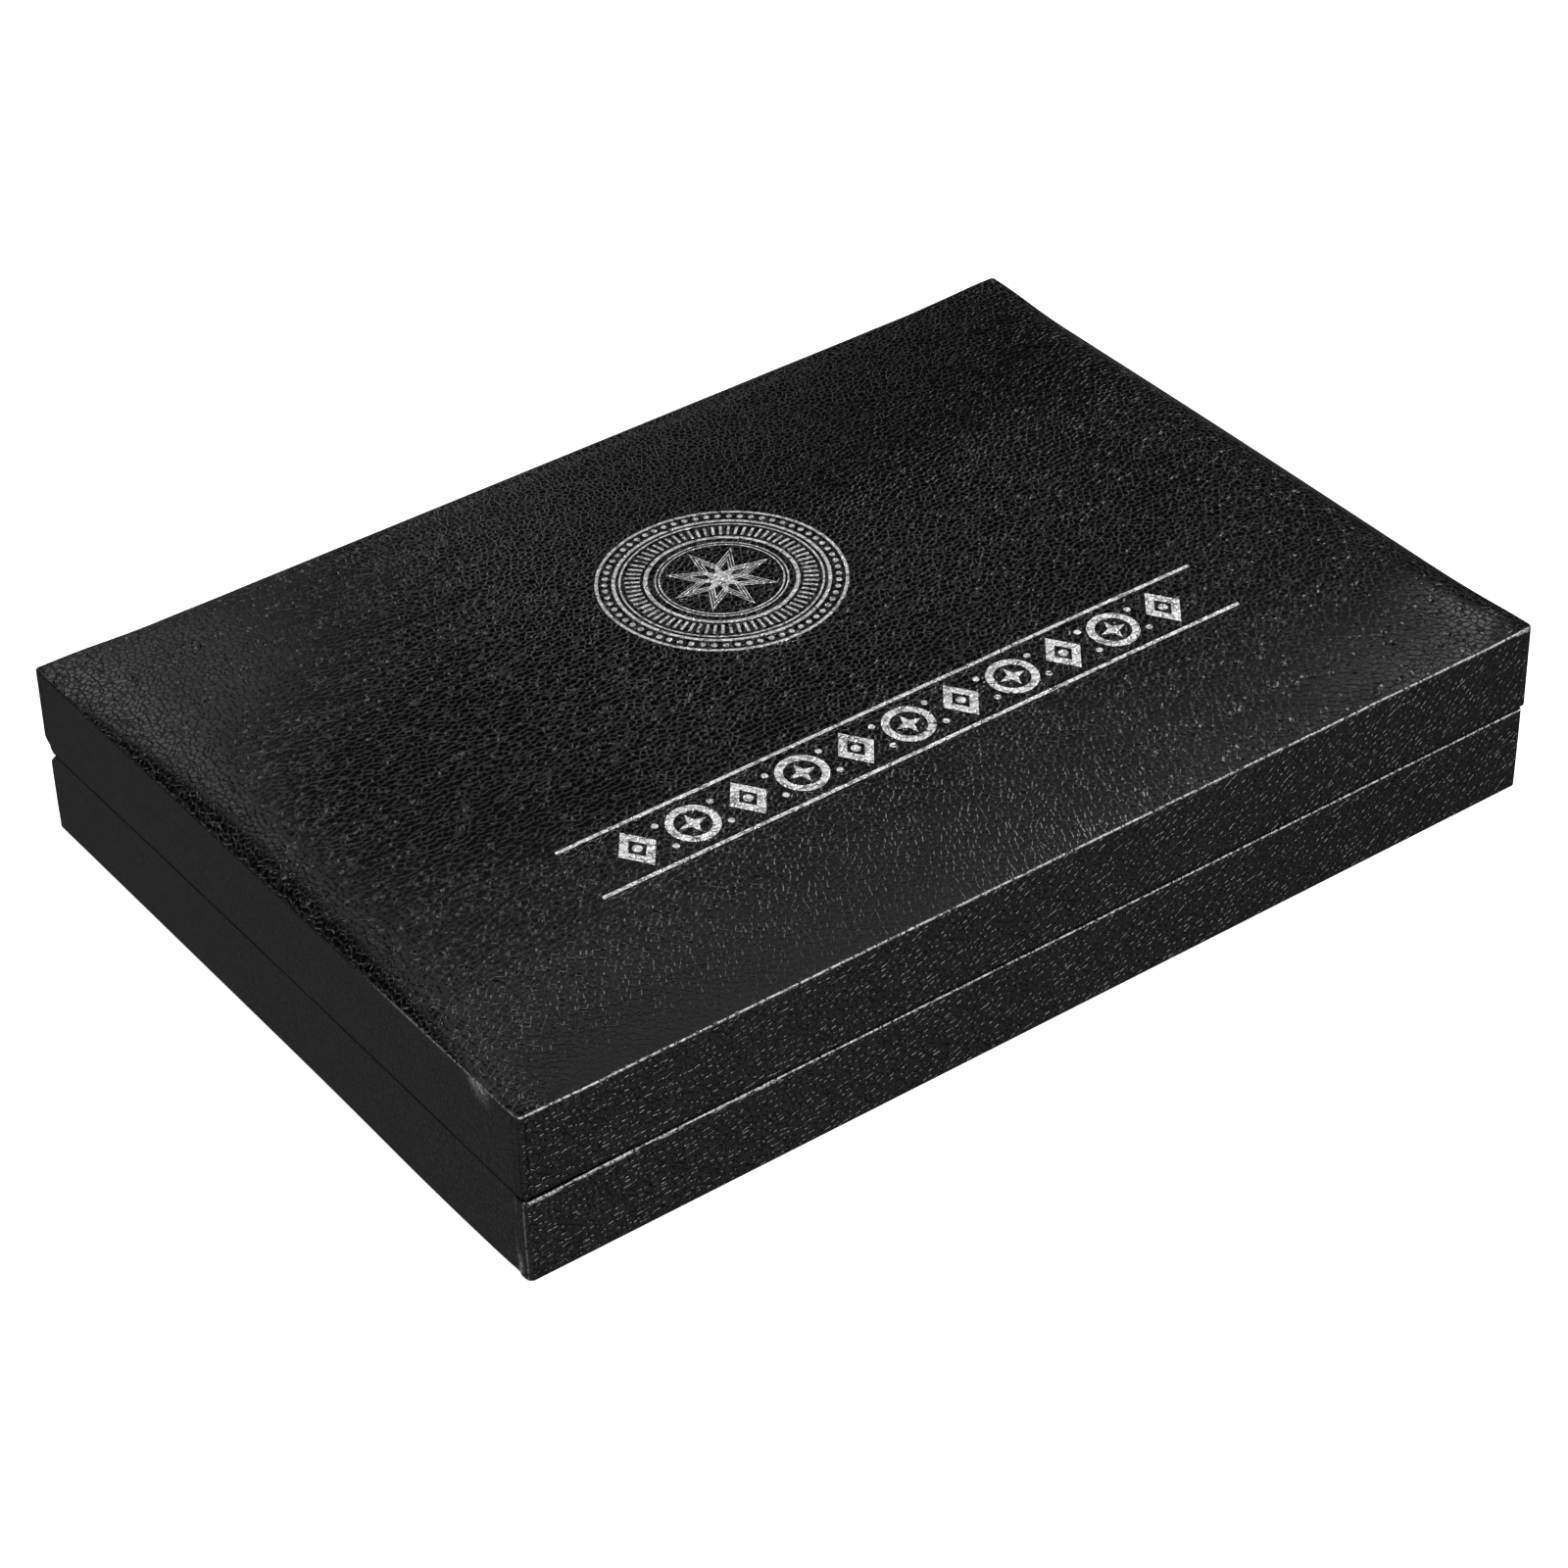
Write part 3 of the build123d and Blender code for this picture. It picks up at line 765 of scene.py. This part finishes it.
def base_cover(look):
    """The base's leatherette: up the walls, over the rim and in under the floor, as one closed skin."""
    edge = [0, 0.06, 0.15, 0.3, 0.5, 0.75, 1.0, 1.5, 1.7, 1.9, 2.1, 2.6, 3.0, 3.25, 3.5, 4.2, 4.5, 4.7]
    edge = [e * MM for e in edge + [5, 6, 8]]
    columns = graded(BASE_HALF[0], edge, GRID_STEP)
    rows = graded(BASE_HALF[1], edge, GRID_STEP)
    outline = outline_of(BASE_HALF, columns, rows)
    loops = base_rim_loops(outline) + base_wall_loops(outline)
    for step_in in (2, 5, 9):
        loops.append(loop_at(outline, BASE_HALF, step_in * MM, level(BASE_LOW)))
    loops.append(loop_at(outline, BASE_HALF, TURN_IN, level(BASE_LOW)))
    loops.append(loop_at(outline, BASE_HALF, TURN_IN, level(BASE_LOW + SKIN)))
    loops.append(loop_at(outline, BASE_HALF, SKIN + BASE_TAPER, level(BASE_LOW + SKIN)))
    count = len(outline)
    faces = []
    for i in range(len(loops)):
        upper = list(range(i * count, (i + 1) * count))
        following = (i + 1) % len(loops)
        lower = list(range(following * count, (following + 1) * count))
        faces += band_faces(upper, lower)
    points = np.concatenate(loops)
    raise_seam(points)
    piece = new_piece("base_cover", points, faces, look, "base")
    weld(piece)
    set_mark(piece, "highlight_and_wear", base_highlight_and_wear(piece))
    set_mark(piece, "grain", grain_strength(piece, BASE_HALF, 0))
    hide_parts("base_wrap")
    return piece


def raise_seam(points):
    """The sheet's end laps over its start on the left side, next to the front corner,
    and its bottom corner is gathered into a small fold."""
    x, y, z = points.T
    skin_deep = BASE_TAPER + 0.2 * MM
    outer = (inside(x, y, BASE_HALF, CORNER) < skin_deep) & (z > BASE_LOW + 0.1 * MM)
    left = outer & (x < -BASE_HALF[0] + skin_deep) & (y < 0)
    lap = smooth_step((SEAM_Y - y) / (0.25 * MM) + 0.5) * smooth_step((y + BASE_HALF[1]) / (1.4 * MM))
    points[left, 0] -= 0.3 * MM * lap[left]
    groove = np.exp(-(((y - SEAM_Y - 0.12 * MM) / (0.12 * MM)) ** 2))
    points[left, 0] += 0.12 * MM * groove[left]
    corner = np.array([-BASE_HALF[0], -BASE_HALF[1] + 2.5 * MM, BASE_LOW + 1.5 * MM])
    near = spot(points, corner, [0.5, 1, 1], 2.6 * MM)
    for i in np.flatnonzero(outer & (near > 0.05)):
        crease = ripple(*points[i], 1.1 * MM, 5.3)
        points[i, 0] -= 0.28 * MM * near[i] * crease
        points[i, 1] -= 0.12 * MM * near[i] * crease


def base_highlight_and_wear(piece):
    """The rim's front fold is painted pale as a painted highlight, and so are the lap seam's line and its
    edge, painted highlights on the seam's raised edges. The gathered corner is rubbed pale.
    """
    p = coordinates(piece)
    x, y, z = p.T
    depth = inside(x, y, BASE_HALF, CORNER)
    on_rim = np.abs(z - base_rim(x, y)) < 0.4 * MM
    fold = np.exp(-(((depth - 0.08 * MM) / (0.08 * MM)) ** 2)) * on_rim
    # Painted highlight along the rim's front fold
    value = 1.8 * fold * (y < -BASE_HALF[1] + 0.8 * MM)
    left = (x < -BASE_HALF[0] + 0.8 * MM) & (depth < 0.6 * MM)
    line = 0.12 * MM
    seam = SEAM_Y + 0.25 * MM * np.array([ripple(0, 0, height, 6 * MM, 2.1) for height in z])
    # Painted highlights along the lap seam and its edge next to the corner
    value += 0.4 * left * np.exp(-(((y - seam) / line) ** 2))
    value += 0.3 * left * np.exp(-(((y + BASE_HALF[1] - 0.7 * MM) / line) ** 2))
    corner = np.array([-BASE_HALF[0], -BASE_HALF[1] + 2.8 * MM, BASE_LOW + 2.2 * MM])
    value += 0.8 * spot(p, corner, [1, 1.6, 0.7], 1.2 * MM)
    return np.clip(value, 0, 1)


def hinge_slots():
    """The room for the hinge barrels in both covers."""
    play = 0.4 * MM
    boxes = []
    for side in ("left", "right"):
        low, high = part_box(f"base_hinge_leaf_{side}")
        lowest = (low.x - play, HINGE.y - 6 * MM, HINGE.z - 2.2 * MM)
        highest = (high.x + play, HINGE.y + 1.75 * MM, HINGE.z + 2.2 * MM)
        boxes.append((lowest, highest))
    return boxes


# ---------------------------------------------------------------- foil


class Flat:
    """Flat foil shapes, laid on the lid's top when they are all drawn."""

    def __init__(self, centre):
        self.centre = centre
        self.points = []
        self.faces = []

    def add(self, points, faces):
        start = len(self.points)
        self.points += [(self.centre[0] + a * MM, self.centre[1] + b * MM) for a, b in points]
        self.faces += [tuple(start + i for i in face) for face in faces]

    def ring(self, x, y, inner, outer, steps):
        turns = [2 * math.pi * i / steps for i in range(steps)]
        points = [(x + r * math.cos(t), y + r * math.sin(t)) for t in turns for r in (inner, outer)]
        faces = []
        for i in range(steps):
            a, b = 2 * i, 2 * ((i + 1) % steps)
            faces.append((a, a + 1, b + 1, b))
        self.add(points, faces)

    def between(self, inner, outer):
        """The strip between two closed outlines of as many points."""
        count = len(inner)
        faces = []
        for i in range(count):
            j = (i + 1) % count
            faces.append((i, count + i, count + j, j))
        self.add(inner + outer, faces)

    def disc(self, x, y, radius, steps):
        turns = [2 * math.pi * i / steps for i in range(steps)]
        points = [(x, y)] + [(x + radius * math.cos(t), y + radius * math.sin(t)) for t in turns]
        self.add(points, [(0, 1 + i, 1 + (i + 1) % steps) for i in range(steps)])

    def polygon(self, points):
        middle = (sum(p[0] for p in points) / len(points), sum(p[1] for p in points) / len(points))
        self.add([middle] + points, [(0, 1 + i, 1 + (i + 1) % len(points)) for i in range(len(points))])

    def bar(self, x_low, x_high, y_low, y_high, step):
        count = max(1, round((x_high - x_low) / step))
        across = [x_low + (x_high - x_low) * i / count for i in range(count + 1)]
        points = [(x, y) for x in across for y in (y_low, y_high)]
        self.add(points, [(2 * i, 2 * i + 2, 2 * i + 3, 2 * i + 1) for i in range(count)])

    def lay(self, name, look, node):
        """Makes the shapes one thin closed piece that follows the lid's top."""
        flat = np.array(self.points)
        height = lid_top(flat[:, 0], flat[:, 1])
        top = np.column_stack([flat, height + FOIL_UP])
        low = np.column_stack([flat, height - FOIL_DOWN])
        count = len(flat)
        faces = self.faces + [tuple(count + i for i in reversed(face)) for face in self.faces]
        sides = dict.fromkeys(side for face in self.faces for side in zip(face, face[1:] + face[:1]))
        faces += [(b, a, count + a, count + b) for a, b in sides if (b, a) not in sides]
        points = np.concatenate([top, low])
        piece = new_piece(name, points, faces, look, "lid", smooth=False)
        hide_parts(node)


def star(points, reach, waist, turn=0.0):
    """A star's outline, its longest point at that turn from +Y."""
    out = []
    for i in range(2 * points):
        angle = math.pi / 2 + turn + math.pi * i / points
        radius = waist if i % 2 else reach
        out.append((radius * math.cos(angle), radius * math.sin(angle)))
    return out


def foil_medallion(look):
    """Rings, beads, reeds and a nest of stars."""
    middle = (MEDALLION[0] + MEDALLION[1]) / 2
    art = Flat((middle.x, middle.y))
    radius = (MEDALLION[1].x - MEDALLION[0].x) / 2 / MM
    art.ring(0, 0, radius - 0.65, radius, 144)
    beads = 64
    for i in range(beads):
        turn = 2 * math.pi * i / beads
        art.disc((radius - 2.0) * math.cos(turn), (radius - 2.0) * math.sin(turn), 0.62, 10)
    art.ring(0, 0, radius - 4.1, radius - 3.4, 144)
    art.ring(0, 0, radius - 5.2, radius - 4.8, 144)
    reeds = 72
    low, high = radius - 9.0, radius - 6.0
    for i in range(reeds):
        turn = 2 * math.pi * i / reeds
        along = (math.cos(turn), math.sin(turn))
        side = (-along[1] * 0.28, along[0] * 0.28)
        ends = ((low, -1), (high, -1), (high, 1), (low, 1))
        art.add([(along[0] * r + s * side[0], along[1] * r + s * side[1]) for r, s in ends], [(0, 1, 2, 3)])
    art.ring(0, 0, radius - 10.5, radius - 9.7, 120)
    for low, high in ((13.1, 13.4), (12.3, 12.6)):
        art.ring(0, 0, low, high, 120)
    for size in (11.4, 9.4, 7.4):
        art.between(star(8, size - 0.9, (size - 0.9) * 0.44), star(8, size, size * 0.44))
    art.polygon(star(8, 5.4, 2.3, math.pi / 8))
    art.lay("lid_medallion_foil", look, "lid_foil_medallion")


def foil_band(look):
    """Two rules with rings and lozenges in turn between them."""
    middle = (BAND[0] + BAND[1]) / 2
    art = Flat((middle.x, middle.y))
    half = (BAND[1].x - BAND[0].x) / 2 / MM
    tall = (BAND[1].y - BAND[0].y) / 2 / MM
    half_rule = 0.4
    for side in (-1, 1):
        y = side * (tall - half_rule)
        art.bar(-half, half, y - half_rule, y + half_rule, 3)
    pitch = 12.6
    count = 11
    for i in range(count):
        x = (i - count // 2) * pitch
        if i % 2:
            art.ring(x, 0, 3.7, 5.3, 40)
            art.polygon([(x + a, b) for a, b in star(4, 2.9, 1.1)])
        else:
            wide, high = 4.2, 5.6
            outer = [(x + wide, 0), (x, high), (x - wide, 0), (x, -high)]
            inner = [(x + wide * 0.5, 0), (x, high * 0.5), (x - wide * 0.5, 0), (x, -high * 0.5)]
            art.between(inner, outer)
            art.disc(x, 0, 1.0, 14)
        if i < count - 1:
            art.disc(x + pitch / 2, 3.4, 0.7, 12)
            art.disc(x + pitch / 2, -3.4, 0.7, 12)
    art.lay("lid_band_foil", look, "lid_foil_band")


# ---------------------------------------------------------------- the inside


def divider_lines(low, high, kind, count, axis):
    """The middles of the dividers along an axis, with the walls at both ends."""
    boxes = [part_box(f"{kind}_divider_{i + 1}") for i in range(count)]
    return np.array([low, *sorted((box[0] + box[1])[axis] / 2 for box in boxes), high])


def floor_cushion(look):
    """The velvet floor, which swells a little in each compartment."""
    low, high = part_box("base_floor_cushion")
    across = divider_lines(low.x, high.x, "short", CELLS_ALONG - 1, 0)
    along = divider_lines(low.y, high.y, "long", CELLS_ACROSS - 1, 1)
    columns = np.linspace(low.x, high.x, 151)
    rows = np.linspace(low.y, high.y, 103)
    x, y = np.meshgrid(columns, rows, indexing="ij")
    to_x = np.abs(x[..., None] - across).min(-1)
    to_y = np.abs(y[..., None] - along).min(-1)
    swell = smooth_step(to_x / (6 * MM)) * smooth_step(to_y / (6 * MM))
    z = high.z - 1.1 * MM * (1 - swell) + 0.12 * MM * rippled(x, y, 9 * MM, 8.2) - 0.1 * MM
    piece = slab("base_velvet_floor", x, y, z, low.z, look, "base")
    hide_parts("base_floor_cushion")


def lid_cushion(look):
    """The satin pad inside the lid: tucked in all round, full in the middle, puckered near the tuck."""
    low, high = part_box("lid_cushion")
    half = np.array([high.x, high.y])
    edge = [e * MM for e in (0, 0.3, 0.8, 1.5, 2.4, 3.5, 5, 7)]
    columns = graded(half[0], edge, 2.0 * MM)
    rows = graded(half[1], edge, 2.0 * MM)
    x, y = np.meshgrid(columns, rows, indexing="ij")
    depth = np.minimum(half[0] - np.abs(x), half[1] - np.abs(y))
    fill = 1 - np.maximum(1 - depth / (26 * MM), 0) ** 2.6
    tuck = np.exp(-((depth / (9 * MM)) ** 2)) * smooth_step(depth / (1.5 * MM))
    along = np.where(half[0] - np.abs(x) < half[1] - np.abs(y), y, x)
    pucker = rippled(along, np.zeros_like(along), 4.2 * MM, 2.2) + 0.6 * rippled(along, y, 11 * MM, 6.4)
    thick = (high.z - low.z) * (0.35 + 0.6 * fill) + 0.55 * MM * tuck * pucker
    piece = slab("lid_satin_pad", x, y, high.z, high.z - thick, look, "lid")
    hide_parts("lid_cushion")


def dress_nodes(looks):
    """The CAD nodes that keep their shape get their materials, and the cloth-covered ones soft edges."""
    covered = [(f"collar_{side}", 0.55 * MM) for side in ("front", "back", "left", "right")]
    covered += [(f"long_divider_{i + 1}", 0.5 * MM) for i in range(CELLS_ACROSS - 1)]
    covered += [(f"short_divider_{i + 1}", 0.5 * MM) for i in range(CELLS_ALONG - 1)]
    for name, width in covered:
        softened(name, f"velvet_{name}", looks["velvet"], width)
    softened("base_bottom_pad", "base_backing_sheet", looks["paper"], 0.4 * MM)
    for name, node in frame["nodes"].items():
        if node.hide_render:
            continue
        if "spring" in name:
            look = looks["spring"]
        elif "hinge" in name:
            look = looks["nickel"]
        elif name == "lid_wall_lining":
            look = looks["satin"]
        else:
            look = looks["board"]
        node.data.materials.clear()
        node.data.materials.append(look)


# ---------------------------------------------------------------- studio


def floor():
    """A pale floor that glows a little, so that the case's shadow on it is faint."""
    made, nodes, shader, place = material("studio_floor")
    cloud = nodes.noise(place, 1.5, 2.0)
    colour = nodes.mix(nodes.ramp(cloud, 0.3, 0.7), grey(0.9), grey(0.92))
    wire(nodes, shader, Base_Color=colour, Roughness=0.9)
    shader.inputs["Specular IOR Level"].default_value = 0.1
    shader.inputs["Emission Color"].default_value = grey(1.0)
    shader.inputs["Emission Strength"].default_value = 0.8
    mesh = bpy.data.meshes.new("studio_floor")
    # A hair under the case, so that the backing sheet and the floor don't lie in one plane
    low = -0.02 * MM
    far = 6.0
    corners = [(x * far, y * far, low) for x, y in ((-1, -1), (1, -1), (1, 1), (-1, 1))]
    mesh.from_pydata(corners, [], [(0, 1, 2, 3)])
    mesh.materials.append(made)
    plane = bpy.data.objects.new("studio_floor", mesh)
    plane.visible_glossy = False
    bpy.context.scene.collection.objects.link(plane)


def toward(azimuth, elevation):
    """A direction in the room: azimuth 0 is behind the case (+Y), and 90 is to its right (+X)."""
    a, e = math.radians(azimuth), math.radians(elevation)
    return Vector((math.sin(a) * math.cos(e), math.cos(a) * math.cos(e), math.sin(e)))


def area_light(name, azimuth, elevation, distance, size, power):
    """A soft box that stands in that direction and faces the case."""
    data = bpy.data.lights.new(name, "AREA")
    data.shape = "RECTANGLE"
    data.size, data.size_y = size
    data.energy = power
    lamp = bpy.data.objects.new(name, data)
    away = toward(azimuth, elevation)
    lamp.location = Vector((0, 0, 20 * MM)) + away * distance
    lamp.rotation_euler = away.to_track_quat("Z", "Y").to_euler()
    bpy.context.scene.collection.objects.link(lamp)


def world():
    """White to look at. What the case mirrors is a dark room with soft panels, over a pale floor."""
    made = bpy.data.worlds.new("studio")
    made.use_nodes = True
    nodes = Nodes(made.node_tree)
    seen = nodes.add("ShaderNodeBackground", {"Color": grey(1.0), "Strength": 1.0})
    way = nodes.add("ShaderNodeTexCoord").outputs["Generated"]
    height = nodes.add("ShaderNodeSeparateXYZ", {0: way}).outputs["Z"]

    def facing(direction):
        return nodes.vector("DOT_PRODUCT", {0: way, 1: direction}, "Value")

    glow = 0.015
    for azimuth, elevation, edge, core, strength in ROOM_PANELS:
        low, high = (math.cos(math.radians(v)) for v in (edge, core))
        panel = nodes.ramp(facing(toward(azimuth, elevation)), low, high, 0.0, strength)
        glow = nodes.math("ADD", glow, panel)
    floor_glow = nodes.ramp(facing((-0.3, -0.95, 0)), 0.3, 0.52, 0.1, 0.54, smooth=False)
    near_left = nodes.ramp(facing((-0.95, -0.3, 0)), 0.04, 0.24, 0.0, 0.18, smooth=False)
    floor_glow = nodes.math("ADD", floor_glow, near_left)
    floor_glow = nodes.math("MULTIPLY", floor_glow, nodes.ramp(height, -0.97, -0.72, 0.05, 1.0))
    above = nodes.ramp(height, -0.06, 0.02)
    below = nodes.math("SUBTRACT", 1.0, above)
    glow = nodes.math("MULTIPLY", above, glow)
    light = nodes.math("ADD", glow, nodes.math("MULTIPLY", below, floor_glow))
    room = nodes.add("ShaderNodeBackground", {"Color": grey(1.0), "Strength": light})
    ray = nodes.add("ShaderNodeLightPath").outputs["Is Camera Ray"]
    mix = nodes.add("ShaderNodeMixShader", {0: ray, 1: room.outputs[0], 2: seen.outputs[0]})
    output = nodes.add("ShaderNodeOutputWorld")
    made.node_tree.links.new(mix.outputs[0], output.inputs[0])
    bpy.context.scene.world = made


def camera():
    """The viewpoint: from the front left and above, nearly level."""
    forward = toward(35.64, -36.93)
    roll = math.radians(1.42)
    distance = 924.9 * MM
    target = Vector((-5.2, -6.1, 11.4)) * MM
    data = bpy.data.cameras.new("view")
    data.lens = 107.1
    data.sensor_width = 36
    data.clip_start = 10 * MM
    eye = bpy.data.objects.new("view", data)
    turn = (-forward).to_track_quat("Z", "Y").to_matrix().to_4x4()
    place = Matrix.Translation(target - forward * distance)
    eye.matrix_world = place @ turn @ Matrix.Rotation(-roll, 4, "Z")
    bpy.context.scene.collection.objects.link(eye)
    bpy.context.scene.camera = eye


def studio():
    floor()
    world()
    area_light("overhead", 0, 84, 1.8, (0.55, 0.45), 5)
    area_light("front", 170, 10, 1.0, (0.5, 0.35), 11)
    camera()
    bpy.context.scene.view_settings.view_transform = "Standard"


def main():
    looks = {
        "leatherette": leatherette(),
        "foil": silver_foil(),
        "velvet": velvet(),
        "satin": satin(),
        "paper": backing_paper(),
        "board": fibreboard(),
        "nickel": metal("nickel_plate", 0.62, 0.27),
        "spring": metal("spring_steel", 0.4, 0.34),
    }
    lid = lid_cover(looks["leatherette"])
    base = base_cover(looks["leatherette"])
    slots = hinge_slots()
    cut_boxes(lid, slots)
    cut_boxes(base, slots)
    foil_medallion(looks["foil"])
    foil_band(looks["foil"])
    floor_cushion(looks["velvet"])
    lid_cushion(looks["satin"])
    dress_nodes(looks)
    studio()


main()
